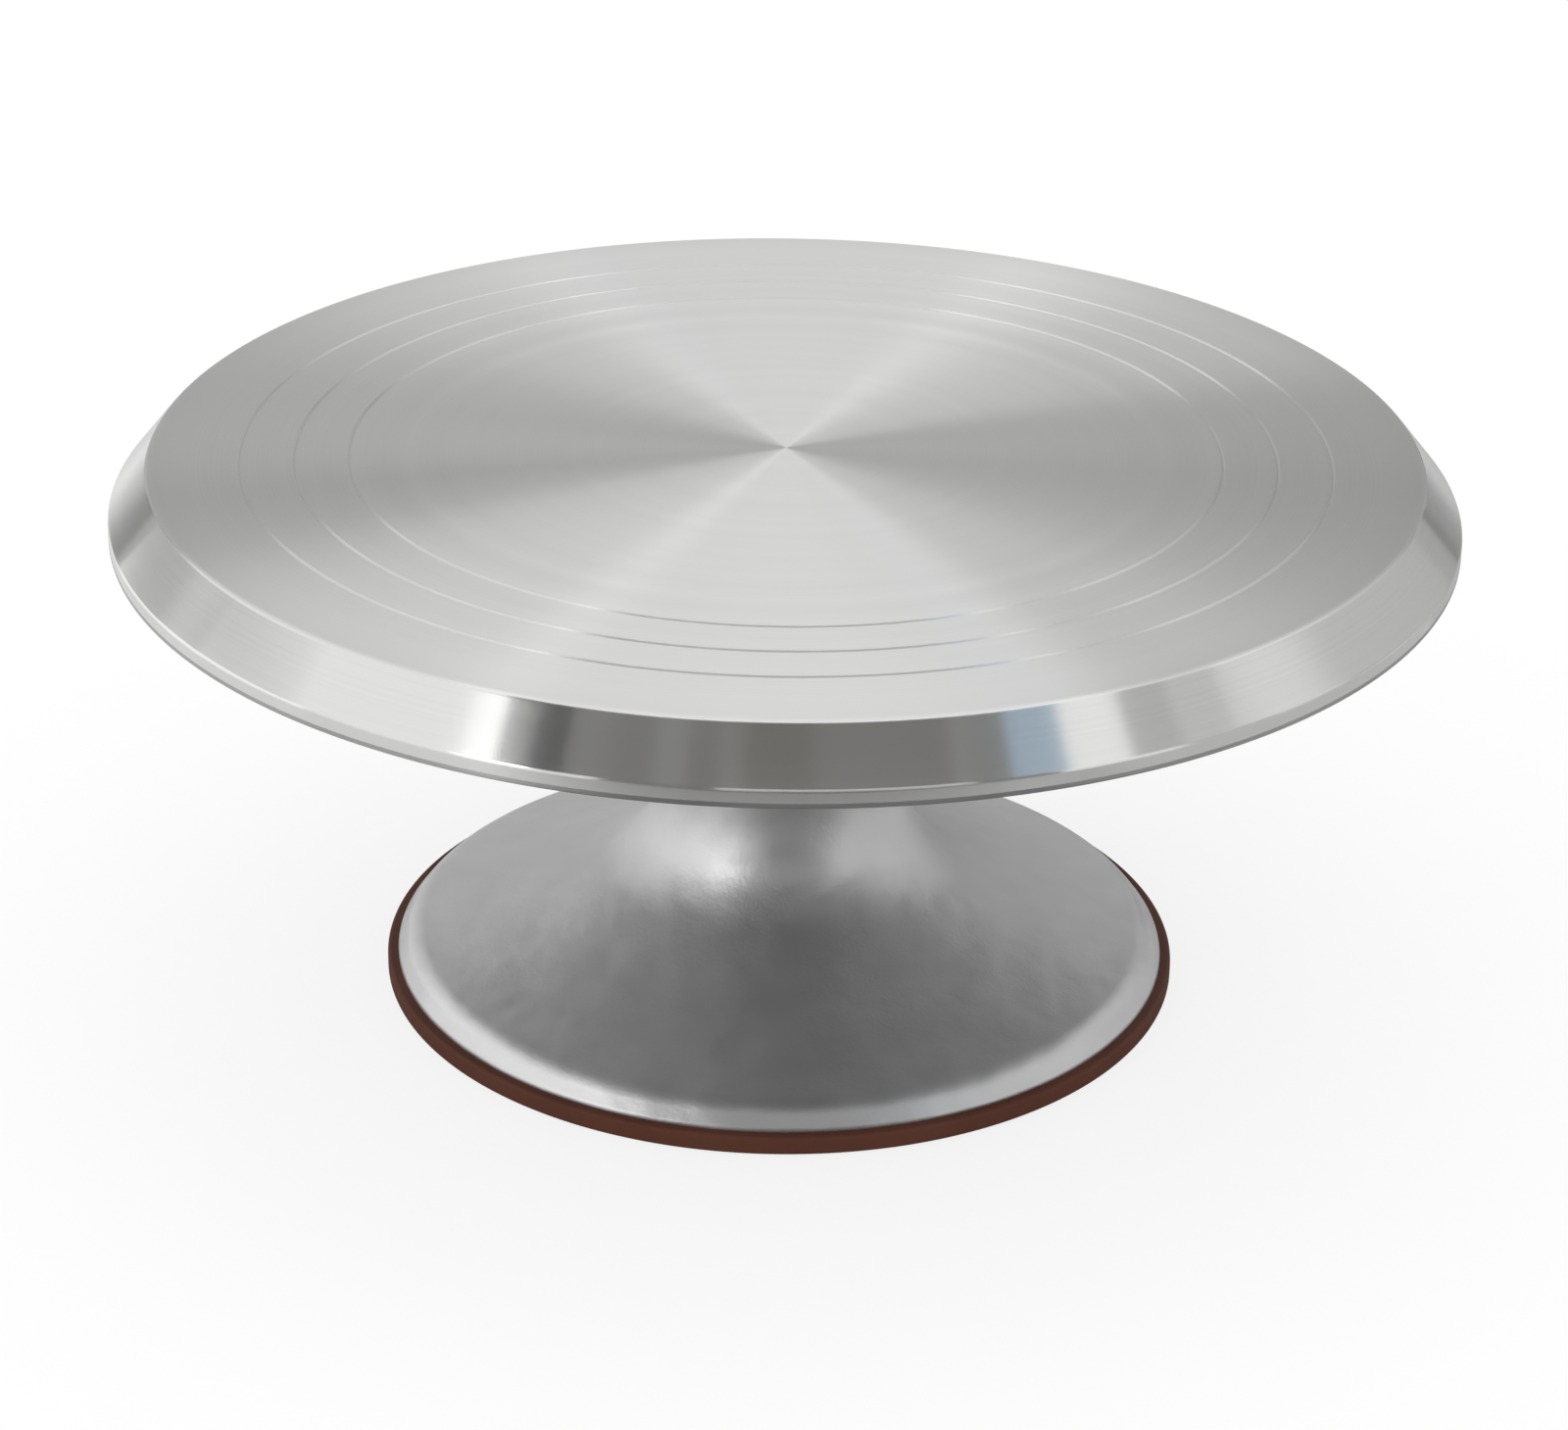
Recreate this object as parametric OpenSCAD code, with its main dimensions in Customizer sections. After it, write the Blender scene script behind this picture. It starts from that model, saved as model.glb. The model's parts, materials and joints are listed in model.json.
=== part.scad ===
// Cake turntable: a lathe-turned aluminium plate on a cast aluminium trumpet pedestal.
// The plate is screwed to a steel flange. Its spindle runs in two deep-groove ball bearings
// in the pedestal's neck. The pedestal stands on a brown rubber ring.
// Millimetres, +Z up. The origin is the centre of the face that the part stands on.

/* [Plate] */
// Height of the cake surface above the table
total_h = 130; // [122:1:170]
// Widest diameter, at the lip
plate_d = 305; // [280:1:330]
// Diameter of the flat cake surface
top_d = 287; // [262:1:290]
// Height that the bevelled edge drops
bevel_drop = 11; // [8:0.5:14]
// Height of the upright lip under the bevel
lip_h = 4; // [2:0.5:8]
// Thickness of the plate's disc
plate_t = 4.5; // [3.5:0.5:6]
// Radial thickness of the bevelled skirt
skirt_t = 4.5; // [3:0.5:6]
// Rounding of the cake surface's edge
top_edge_r = 0.8; // [0.3:0.1:1.5]
// Rounding of the lip's two edges
lip_edge_r = 0.5; // [0.2:0.1:0.9]
// Radius of the inner centring groove
groove_r = 98.5; // [60:0.5:105]
// Step from one centring groove to the next
groove_step = 12.25; // [6:0.25:14]
// Number of centring grooves
groove_count = 3; // [1:1:3]
// Width of a centring groove
groove_w = 1; // [0.4:0.1:1.4]
// Depth of a centring groove
groove_depth = 0.4; // [0.1:0.1:0.8]
// Diameter of the boss under the plate
boss_d = 66; // [62:1:90]
// Height of the boss under the plate
boss_h = 7.5; // [6.5:0.5:12]

/* [Pedestal] */
// Diameter of the cast rim
rim_d = 181; // [160:1:200]
// Rounding of the rim's outer edge
rim_edge_r = 1.8; // [1:0.1:3]
// Slope of the brim's face, over the rim's edge, in degrees
brim_slope = 53; // [44:1:58]
// Width of the brim's face
brim_w = 2.6; // [1:0.1:4]
// Radius of the roll between the brim's face and the flank
roll_r = 7; // [5:0.5:10]
// Slope of the flank where it meets the roll, in degrees
rim_slope = 10; // [6:1:16]
// Slope of the flank where it meets the fillet, in degrees
flank_slope = 30; // [24:1:36]
// Radius of the fillet between flank and neck
fillet_r = 30; // [20:1:34]
// Diameter of the neck
neck_d = 56; // [52:1:70]
// Wall of the casting
cast_t = 5; // [4:0.5:6.5]
// Chamfer round the top of the neck
neck_chamfer = 1; // [0.5:0.1:2]
// Wall of the bearing housing, outside the bearing seats
housing_wall = 6; // [5:0.5:7]
// Depth of the spigot that centres the rubber ring
spigot_h = 3; // [1.5:0.5:3.5]
// Thickness of that spigot
spigot_t = 3.5; // [2:0.5:5]

/* [Rubber ring] */
// Outer diameter of the rubber ring
ring_d = 186; // [165:1:205]
// Radial width of the rubber ring
ring_w = 14; // [10:0.5:15]
// Thickness of the rubber ring
ring_t = 4.5; // [4:0.5:8]
// Rounding of the ring's outer edges
ring_edge_r = 1; // [0.4:0.1:1.6]

/* [Spindle and flange] */
// Diameter of the flange under the plate
flange_d = 60; // [58:1:62]
// Thickness of the flange
flange_t = 9; // [8.5:0.5:12]
// Diameter of the collar that bears on the upper bearing
collar_d = 20; // [19:0.5:21]
// Diameter of the spindle's head, above the flange
spindle_head_d = 20; // [18:1:24]
// Thickness of the spindle's head
spindle_head_h = 2; // [1:0.5:3]
// Diameter of the spindle's threaded end
spindle_thread_d = 14; // [10:1:14]
// Length of thread that stands out under the nut
thread_end = 2; // [0:0.5:6]
// Diameter of the circle that the flange screws lie on
screw_circle_d = 44; // [40:1:46]
// Gap between the flange and the top of the neck
neck_gap = 2; // [1:0.5:6]

/* [Bearings] */
// Bore of a bearing
bearing_bore = 15; // [15:0.5:16]
// Outside diameter of a bearing
bearing_d = 35; // [34.5:0.5:36]
// Width of a bearing
bearing_w = 11; // [10:0.5:13]
// Number of balls in a bearing
ball_count = 8; // [6:1:8]
// Diameter of a ball
ball_d = 5.953; // [5:0.001:6.35]
// Distance between the two bearings
bearing_gap = 29; // [15:1:32]
// Diameter of the bore between the bearings
mid_bore_d = 31; // [26:0.5:32]

/* [Small parts] */
// Thickness of a retaining ring
clip_t = 1.5; // [1:0.1:2]
// Depth of a retaining ring's groove
clip_groove = 1; // [0.6:0.1:1.5]
// Thickness of the dust seal
seal_t = 4; // [3:0.5:8]
// Thickness of the washer under the lower bearing
washer_t = 2.5; // [1.5:0.5:4]
// Outer diameter of that washer
washer_d = 24; // [20:0.5:26]
// Width of the lock nut across its flats
nut_af = 21; // [19:0.5:22]
// Height of the lock nut
nut_h = 8; // [6:0.5:12]
// Diameter of a flange screw's thread
screw_d = 5; // [4:0.5:5]
// Length of a flange screw under its head
screw_l = 12; // [9:0.5:12]
// Diameter of a screw's head
screw_head_d = 8.5; // [7:0.5:9]
// Height of a screw's head
screw_head_h = 5; // [4:0.5:5]
// Thickness of a screw's spring washer
lock_washer_t = 1.2; // [0.8:0.1:1.6]

/* [Clearances] */
// Radial gap of a press fit or a thread
press_gap = 0.01; // [0.005:0.005:0.02]
// Radial gap between a ball and its raceways
ball_gap = 0.02; // [0.01:0.005:0.05]
// Radial gap where a turning piece passes a still one
turn_gap = 0.3; // [0.2:0.05:0.5]
// Radial gap round the loosely fitted pieces
loose_gap = 0.25; // [0.1:0.05:0.4]

/* [Hidden] */
$fn = 96;

// Heights, from the cake surface down
disc_z = total_h - plate_t;
lip_top_z = total_h - bevel_drop;
lip_z = lip_top_z - lip_h;
flange_top_z = disc_z - boss_h;
flange_z = flange_top_z - flange_t;
neck_z = flange_z - neck_gap;
clip_slot = clip_t + loose_gap;
upper_z = neck_z - seal_t - clip_slot - bearing_w;
lower_z = upper_z - bearing_gap - bearing_w;
housing_z = lower_z - clip_slot - cast_t / 2;
nut_z = lower_z - washer_t - nut_h;

// Radii
plate_r = plate_d / 2;
top_r = top_d / 2;
bearing_r = bearing_d / 2;
bore_r = bearing_bore / 2;
ball_r = ball_d / 2;
pitch_r = (bearing_r + bore_r) / 2;
seat_r = bearing_r + press_gap;
spindle_r = bore_r - press_gap;
thread_r = spindle_thread_d / 2;
collar_r = collar_d / 2;
neck_r = neck_d / 2;
rim_r = rim_d / 2;
ring_r = ring_d / 2;
ring_in_r = ring_r - ring_w;
spigot_r = ring_in_r - loose_gap;

// Bearing sections: the shoulders leave the raceways a third of the ball deep
race_r = ball_r * 1.04;
shoulder_out_r = pitch_r + ball_r * 0.62;
shoulder_in_r = pitch_r - ball_r * 0.75;
shield_t = 0.5;
shield_inset = 0.4;
shield_r = shoulder_out_r + 0.7;
cage_t = ball_r * 0.86;
cage_floor = 0.8;

// Flange screws
screw_n = 4;
cbore_d = screw_head_d + 4 * loose_gap;
cbore_h = screw_head_h + lock_washer_t + loose_gap;
screw_head_z = flange_z + cbore_h - lock_washer_t;
screw_tip_z = screw_head_z + screw_l;

// Pedestal outline: the rim's edge, the brim's face and its roll, a wide arc up the flank, and the
// fillet to the neck
rim_c = [rim_r - rim_edge_r, ring_t];
brim_out = [sin(brim_slope), cos(brim_slope)];
brim_up = [-cos(brim_slope), sin(brim_slope)];
roll_c = rim_c - (roll_r - rim_edge_r) * brim_out + brim_w * brim_up;
flank_end = roll_c + roll_r * [sin(rim_slope), cos(rim_slope)];
fillet_cx = neck_r + fillet_r;
flank_r = (flank_end[0] - fillet_cx + fillet_r * sin(flank_slope)) / (sin(flank_slope) - sin(rim_slope));
flank_c = flank_end + flank_r * [sin(rim_slope), cos(rim_slope)];
fillet_c = flank_c - (flank_r - fillet_r) * [sin(flank_slope), cos(flank_slope)];
flank_in_r = flank_r + cast_t;
spigot_in_r = spigot_r - spigot_t;
spigot_slope = asin((flank_c[0] - spigot_in_r) / flank_in_r);

// Points of a round stretch about centre c, from angle a0 to a1
function arc(c, r, a0, a1, n) = [for (i = [0:n]) c + r * [for (a = [a0 + (a1 - a0) * i / n]) each [cos(a), sin(a)]]];

// A ring of rectangular section
module tube(r_out, r_in, h) {
  rotate_extrude()
    translate([r_in, 0])
      square([r_out - r_in, h]);
}

// Copies of a child round a circle
module around(count, r) {
  for (i = [0:count - 1])
    rotate(360 * i / count)
      translate([r, 0, 0])
        children();
}

// ---- The plate and what turns with it ----

module plate_section() {
  bevel_a = atan2(bevel_drop, plate_r - top_r);
  inner_bevel_r = top_r - skirt_t + plate_t * (plate_r - top_r) / bevel_drop;
  difference() {
    polygon(concat(
      [[0, total_h]],
      arc([top_r - top_edge_r, total_h - top_edge_r], top_edge_r, 90, 90 - bevel_a, 4),
      arc([plate_r - lip_edge_r, lip_top_z - lip_edge_r], lip_edge_r, 90 - bevel_a, 0, 4),
      arc([plate_r - lip_edge_r, lip_z + lip_edge_r], lip_edge_r, 0, -90, 4),
      [
        [plate_r - skirt_t, lip_z],
        [plate_r - skirt_t, lip_top_z],
        [inner_bevel_r, disc_z],
        [boss_d / 2, disc_z],
        [boss_d / 2, flange_top_z],
        [0, flange_top_z]
      ]
    ));
    for (i = [0:groove_count - 1])
      translate([groove_r + i * groove_step - groove_w / 2, total_h - groove_depth])
        square([groove_w, 2 * groove_depth]);
    square([spindle_head_d / 2 + loose_gap, flange_top_z + spindle_head_h + loose_gap]);
  }
}

module turntable_plate() {
  color("gainsboro")
    difference() {
      rotate_extrude()
        plate_section();
      around(screw_n, screw_circle_d / 2)
        translate([0, 0, disc_z - boss_h - 1])
          cylinder(d = screw_d + 2 * press_gap, h = screw_tip_z + loose_gap - flange_top_z + 1);
    }
}

module spindle_flange() {
  color("silver")
    difference() {
      union() {
        translate([0, 0, flange_z])
          cylinder(d = flange_d, h = flange_t);
        translate([0, 0, upper_z + bearing_w])
          cylinder(r = collar_r, h = flange_z + 1 - upper_z - bearing_w);
      }
      translate([0, 0, upper_z])
        cylinder(r = bore_r, h = flange_top_z - upper_z + 1);
      around(screw_n, screw_circle_d / 2) {
        translate([0, 0, flange_z - 1])
          cylinder(d = cbore_d, h = cbore_h + 1);
        translate([0, 0, flange_z])
          cylinder(d = screw_d + 2 * loose_gap, h = flange_t + 1);
      }
    }
}

module spindle() {
  // The step to the thread lies just inside the lower bearing, so that the washer clamps it
  step_z = lower_z + 0.5;
  color("silver") {
    translate([0, 0, flange_top_z])
      cylinder(d = spindle_head_d, h = spindle_head_h);
    translate([0, 0, step_z])
      cylinder(r = spindle_r, h = flange_top_z - step_z);
    translate([0, 0, nut_z - thread_end])
      cylinder(r = thread_r, h = step_z - nut_z + thread_end);
  }
}

module flange_screws() {
  socket_af = 4;
  color("dimgray")
    around(screw_n, screw_circle_d / 2)
      difference() {
        union() {
          translate([0, 0, screw_head_z - screw_head_h])
            cylinder(d = screw_head_d, h = screw_head_h);
          translate([0, 0, screw_head_z])
            cylinder(d = screw_d, h = screw_l);
        }
        translate([0, 0, screw_head_z - screw_head_h - 1])
          cylinder(d = socket_af / cos(30), h = screw_head_h / 2 + 1, $fn = 6);
      }
}

module flange_lock_washers() {
  split_w = 0.6;
  color("gray")
    around(screw_n, screw_circle_d / 2)
      translate([0, 0, screw_head_z])
        difference() {
          tube(screw_head_d / 2, screw_d / 2 + loose_gap, lock_washer_t);
          translate([0, -split_w / 2, -1])
            cube([screw_head_d, split_w, lock_washer_t + 2]);
        }
}

module bearing_spacer() {
  color("silver")
    translate([0, 0, upper_z - bearing_gap])
      tube(collar_r, bore_r, bearing_gap);
}

module spindle_washer() {
  color("gray")
    translate([0, 0, lower_z - washer_t])
      tube(washer_d / 2, thread_r + loose_gap, washer_t);
}

module lock_nut() {
  chamfer_h = 1;
  color("gray")
    translate([0, 0, nut_z])
      difference() {
        cylinder(d = nut_af / cos(30), h = nut_h, $fn = 6);
        translate([0, 0, -1])
          cylinder(r = thread_r + press_gap, h = nut_h + 2);
        translate([0, 0, -0.01])
          cylinder(r1 = thread_r + chamfer_h, r2 = thread_r, h = chamfer_h);
      }
}

// ---- One deep-groove ball bearing: its pieces, with its lower face at z = 0 ----

module bearing_outer_ring() {
  rebate_h = shield_t + shield_inset;
  rotate_extrude()
    difference() {
      translate([shoulder_out_r, 0])
        square([bearing_r - shoulder_out_r, bearing_w]);
      translate([pitch_r + ball_r + ball_gap - race_r, bearing_w / 2])
        circle(r = race_r);
      translate([shoulder_out_r - 1, -1])
        square([shield_r + 1 - shoulder_out_r, rebate_h + 1]);
      translate([shoulder_out_r - 1, bearing_w - rebate_h])
        square([shield_r + 1 - shoulder_out_r, rebate_h + 1]);
    }
}

module bearing_inner_ring() {
  rotate_extrude()
    difference() {
      translate([bore_r, 0])
        square([shoulder_in_r - bore_r, bearing_w]);
      translate([pitch_r - ball_r - ball_gap + race_r, bearing_w / 2])
        circle(r = race_r);
    }
}

module bearing_balls() {
  around(ball_count, pitch_r)
    translate([0, 0, bearing_w / 2])
      sphere(r = ball_r);
}

// A crown cage: a ring under the balls, with a pocket open at the top for each
module bearing_cage() {
  pocket_r = ball_r + loose_gap / 2;
  floor_z = bearing_w / 2 - pocket_r - cage_floor;
  difference() {
    translate([0, 0, floor_z])
      tube(pitch_r + cage_t / 2, pitch_r - cage_t / 2, bearing_w / 2 + ball_r * 0.6 - floor_z);
    around(ball_count, pitch_r)
      translate([0, 0, bearing_w / 2])
        sphere(r = pocket_r);
  }
}

module bearing_shield() {
  tube(shield_r - press_gap, shoulder_in_r + turn_gap, shield_t);
}

module upper_bearing_outer_ring() {
  color("lightsteelblue")
    translate([0, 0, upper_z])
      bearing_outer_ring();
}

module upper_bearing_inner_ring() {
  color("lightsteelblue")
    translate([0, 0, upper_z])
      bearing_inner_ring();
}

module upper_bearing_balls() {
  color("white")
    translate([0, 0, upper_z])
      bearing_balls();
}

module upper_bearing_cage() {
  color("burlywood")
    translate([0, 0, upper_z])
      bearing_cage();
}

module upper_bearing_top_shield() {
  color("darkgray")
    translate([0, 0, upper_z + bearing_w - shield_inset - shield_t])
      bearing_shield();
}

module upper_bearing_bottom_shield() {
  color("darkgray")
    translate([0, 0, upper_z + shield_inset])
      bearing_shield();
}

module lower_bearing_outer_ring() {
  color("lightsteelblue")
    translate([0, 0, lower_z])
      bearing_outer_ring();
}

module lower_bearing_inner_ring() {
  color("lightsteelblue")
    translate([0, 0, lower_z])
      bearing_inner_ring();
}

module lower_bearing_balls() {
  color("white")
    translate([0, 0, lower_z])
      bearing_balls();
}

module lower_bearing_cage() {
  color("burlywood")
    translate([0, 0, lower_z])
      bearing_cage();
}

module lower_bearing_top_shield() {
  color("darkgray")
    translate([0, 0, lower_z + bearing_w - shield_inset - shield_t])
      bearing_shield();
}

module lower_bearing_bottom_shield() {
  color("darkgray")
    translate([0, 0, lower_z + shield_inset])
      bearing_shield();
}

// ---- What stays still ----

// An internal retaining ring: a C with two drilled ears, with its lower face at z = 0
module retaining_ring() {
  band = 2.4;
  ear_r = 2.4;
  ear_hole_r = 1;
  ear_a = 14;
  mouth_w = 3.5;
  outer_r = seat_r + clip_groove - loose_gap;
  ear_c = seat_r - ear_r;
  difference() {
    union() {
      tube(outer_r, seat_r - band, clip_t);
      for (side = [-1, 1])
        rotate(side * ear_a)
          translate([ear_c, 0, 0])
            cylinder(r = ear_r, h = clip_t);
    }
    translate([0, -mouth_w / 2, -1])
      cube([outer_r + 1, mouth_w, clip_t + 2]);
    for (side = [-1, 1])
      rotate(side * ear_a)
        translate([ear_c, 0, -1])
          cylinder(r = ear_hole_r, h = clip_t + 2);
  }
}

module upper_retaining_ring() {
  color("darkslategray")
    translate([0, 0, upper_z + bearing_w])
      retaining_ring();
}

module lower_retaining_ring() {
  color("darkslategray")
    translate([0, 0, lower_z - clip_t])
      retaining_ring();
}

module dust_seal() {
  color("dimgray")
    translate([0, 0, neck_z - seal_t])
      tube(bearing_r, collar_r + turn_gap, seal_t);
}

// The outside from the rim to the top of the neck, the inside back down, one wall in, and the spigot
module pedestal_shell_section() {
  polygon(concat(
    arc(rim_c, rim_edge_r, 0, 90 - brim_slope, 6),
    arc(roll_c, roll_r, 90 - brim_slope, 90 - rim_slope, 10),
    arc(flank_c, flank_r, 270 - rim_slope, 270 - flank_slope, 20),
    arc(fillet_c, fillet_r, 270 - flank_slope, 180, 24),
    [
      [neck_r, neck_z - neck_chamfer],
      [neck_r - neck_chamfer, neck_z],
      [neck_r - cast_t, neck_z]
    ],
    arc(fillet_c, fillet_r + cast_t, 180, 270 - flank_slope, 24),
    arc(flank_c, flank_in_r, 270 - flank_slope, 270 - spigot_slope, 20),
    [
      [spigot_in_r, ring_t - spigot_h],
      [spigot_r, ring_t - spigot_h],
      [spigot_r, ring_t]
    ]
  ));
}

module pedestal() {
  color("darkgray")
    rotate_extrude()
      difference() {
        union() {
          pedestal_shell_section();
          translate([0, housing_z])
            square([seat_r + housing_wall, neck_z - housing_z]);
        }
        translate([0, housing_z - 1])
          square([mid_bore_d / 2, neck_z - housing_z + 2]);
        translate([0, upper_z])
          square([seat_r, neck_z - upper_z + 1]);
        translate([0, housing_z - 1])
          square([seat_r, lower_z + bearing_w - housing_z + 1]);
        for (groove_z = [upper_z + bearing_w, lower_z - clip_slot])
          translate([0, groove_z])
            square([seat_r + clip_groove, clip_slot]);
      }
}

module foot_ring() {
  outer_c = ring_r - ring_edge_r;
  color([0.33, 0.20, 0.15])
    rotate_extrude()
      polygon(concat(
        [[ring_in_r, 0]],
        arc([outer_c, ring_edge_r], ring_edge_r, -90, 0, 6),
        arc([outer_c, ring_t - ring_edge_r], ring_edge_r, 0, 90, 6),
        [[ring_in_r, ring_t]]
      ));
}

turntable_plate();
spindle_flange();
spindle();
flange_screws();
flange_lock_washers();
upper_bearing_outer_ring();
upper_bearing_inner_ring();
upper_bearing_balls();
upper_bearing_cage();
upper_bearing_top_shield();
upper_bearing_bottom_shield();
bearing_spacer();
lower_bearing_outer_ring();
lower_bearing_inner_ring();
lower_bearing_balls();
lower_bearing_cage();
lower_bearing_top_shield();
lower_bearing_bottom_shield();
upper_retaining_ring();
lower_retaining_ring();
dust_seal();
spindle_washer();
lock_nut();
pedestal();
foot_ring();
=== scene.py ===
# %% [markdown]
# # A cake turntable
# A bakery turntable is a heavy aluminium plate that spins on a cast aluminium pedestal.
# This lesson dresses the packed model: it turns the plate, the pedestal and the rubber
# ring as smooth pieces, gives every piece its finish, and lights it as a product picture.

# %% Load the frame
import json
import math

import bpy
from mathutils import Euler, Matrix, Vector


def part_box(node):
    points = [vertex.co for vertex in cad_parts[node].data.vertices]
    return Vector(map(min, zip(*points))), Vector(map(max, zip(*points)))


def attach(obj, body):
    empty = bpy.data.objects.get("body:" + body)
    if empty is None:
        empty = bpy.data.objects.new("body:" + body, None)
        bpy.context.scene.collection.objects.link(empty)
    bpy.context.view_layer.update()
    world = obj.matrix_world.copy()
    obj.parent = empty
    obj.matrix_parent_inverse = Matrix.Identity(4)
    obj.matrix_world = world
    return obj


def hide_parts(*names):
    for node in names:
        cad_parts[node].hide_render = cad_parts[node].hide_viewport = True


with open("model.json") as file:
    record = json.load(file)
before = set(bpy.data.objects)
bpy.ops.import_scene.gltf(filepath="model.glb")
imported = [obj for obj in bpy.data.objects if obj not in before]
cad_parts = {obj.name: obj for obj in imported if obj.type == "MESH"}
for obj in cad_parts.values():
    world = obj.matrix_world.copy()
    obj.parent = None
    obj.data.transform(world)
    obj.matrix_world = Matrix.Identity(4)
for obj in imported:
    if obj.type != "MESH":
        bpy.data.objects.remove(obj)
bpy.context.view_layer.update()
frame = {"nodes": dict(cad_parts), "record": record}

# %% [markdown]
# ## Sizes
# Each place comes from the frame's own boxes, so the smooth pieces land on the solids that
# they stand for. Sizes that a box can't tell, such as the drop of the bevel, are written
# in millimetres, with the same names as in the part's source.

# %% Sizes from the frame
MM = 0.001
plate_lo, plate_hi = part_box("turntable_plate")
flange_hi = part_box("spindle_flange")[1]
head_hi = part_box("spindle")[1]
cast_lo, cast_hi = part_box("pedestal")
ring_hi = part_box("foot_ring")[1]
upper_lo, upper_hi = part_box("upper_bearing_outer_ring")
lower_lo, lower_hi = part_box("lower_bearing_outer_ring")

total_h = plate_hi.z
plate_r = plate_hi.x
lip_z = plate_lo.z
rim_r = cast_hi.x
neck_z = cast_hi.z
ring_r = ring_hi.x
ring_t = ring_hi.z
print(f"plate {2 * plate_r / MM:.1f} mm across, {total_h / MM:.1f} mm high")

# %% [markdown]
# ## How a turned piece is modelled
# Everything large on this object came off a lathe, so its shape is one half section
# carried round an axis. It could be pulled up ring by ring from a disc, but drawing the
# section and using Spin is quicker and keeps the rings true. The section starts as a tiny
# plane merged to a point, and each extrude walks the point one step along the outline.
# Spin leaves the first and last copy on top of each other, so doubles are merged and the
# normals worked out again afterwards.

# %% Draw a section and spin it
TURN_STEPS = 256
MERGE_WITHIN = 0.002 * MM


def arc(centre, radius, start, end, count):
    """Points of a round stretch, from one angle to another, in degrees."""
    angles = [math.radians(start + (end - start) * i / count) for i in range(count + 1)]
    return [(centre[0] + radius * math.cos(a), centre[1] + radius * math.sin(a)) for a in angles]


def turn(name, section):
    """Draws a half section, given as radius and height, and spins it round the Z axis."""
    bpy.ops.object.select_all(action="DESELECT")
    bpy.ops.mesh.primitive_plane_add(size=MM, location=(section[0][0], 0, section[0][1]))
    piece = bpy.context.object
    piece.name = piece.data.name = name
    bpy.ops.object.mode_set(mode="EDIT")
    bpy.ops.mesh.select_mode(type="VERT")
    bpy.ops.mesh.merge(type="CENTER")
    for here, there in zip(section, section[1:]):
        step = (there[0] - here[0], 0, there[1] - here[1])
        bpy.ops.mesh.extrude_region_move(TRANSFORM_OT_translate={"value": step})
    bpy.ops.mesh.select_all(action="SELECT")
    bpy.ops.mesh.spin(steps=TURN_STEPS, angle=2 * math.pi, center=(0, 0, 0), axis=(0, 0, 1))
    bpy.ops.mesh.select_all(action="SELECT")
    bpy.ops.mesh.remove_doubles(threshold=MERGE_WITHIN)
    bpy.ops.mesh.normals_make_consistent(inside=False)
    bpy.ops.object.mode_set(mode="OBJECT")
    bpy.ops.object.transform_apply(location=True, rotation=True, scale=True)
    return piece


print("a turned piece has", TURN_STEPS, "steps round")

# %% [markdown]
# ## Round corners and shading
# A turned corner is broken with a small radius, and that thin round line is what catches
# the light. A Bevel modifier would round every corner alike, so each ring of edges is
# picked by its place and bevelled by its own size. Smooth shading then hides the steps of
# the spin, and weighted normals keep the large faces looking flat next to the round ones.

# %% Round one ring of edges, and shade a piece
FOUND_WITHIN = 0.01 * MM
SMOOTH_ANGLE = math.radians(35)


def round_ring(piece, radius, height, size, segments):
    """Bevels the ring of edges that lies at this radius and height."""
    mesh = piece.data

    def on_ring(v):
        away = math.hypot(v.co.x, v.co.y) - radius
        return abs(away) < FOUND_WITHIN and abs(v.co.z - height) < FOUND_WITHIN

    bpy.ops.object.mode_set(mode="EDIT")
    bpy.ops.mesh.select_mode(type="EDGE")
    bpy.ops.mesh.select_all(action="DESELECT")
    bpy.ops.object.mode_set(mode="OBJECT")
    for edge in mesh.edges:
        edge.select = all(on_ring(mesh.vertices[i]) for i in edge.vertices)
    bpy.ops.object.mode_set(mode="EDIT")
    bpy.ops.mesh.bevel(offset=size, segments=segments, affect="EDGES", offset_type="OFFSET")
    bpy.ops.object.mode_set(mode="OBJECT")


def smooth(piece):
    """Shades smooth, keeps corners crisp, and lets the large faces rule the normals."""
    bpy.ops.object.select_all(action="DESELECT")
    piece.select_set(True)
    bpy.context.view_layer.objects.active = piece
    bpy.ops.object.shade_smooth_by_angle(angle=SMOOTH_ANGLE)
    bpy.ops.object.modifier_add(type="WEIGHTED_NORMAL")
    piece.modifiers[-1].keep_sharp = True
    bpy.ops.object.modifier_apply(modifier=piece.modifiers[-1].name)
    print(piece.name, "faces:", len(piece.data.polygons))


print("corners stay crisp above", round(math.degrees(SMOOTH_ANGLE)), "degrees")

# %% [markdown]
# ## The plate
# The plate is turned from one casting: a flat face with three centring grooves, a wide
# bevel, an upright lip, and a skirt that hides a boss. The grooves could be left to the
# finish, but a groove painted on would not catch the light on one wall and lose it on the
# other, so they are real V-shaped rings in the section.

# %% The plate's sizes
top_r = 143.5 * MM
bevel_drop = 11 * MM
plate_t = 4.5 * MM
skirt_t = 4.5 * MM
top_edge_r = 0.8 * MM
lip_edge_r = 0.5 * MM
inner_edge_r = 2 * MM
groove_rs = [(98.5 + 12.25 * i) * MM for i in range(3)]
groove_w = 1.0 * MM
groove_depth = 0.4 * MM
boss_r = 33 * MM
head_gap = 0.25 * MM

disc_z = total_h - plate_t
lip_top_z = total_h - bevel_drop
inner_bevel_r = top_r - skirt_t + plate_t * (plate_r - top_r) / bevel_drop
print("grooves at radius", [round(r / MM, 2) for r in groove_rs], "mm")

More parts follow.
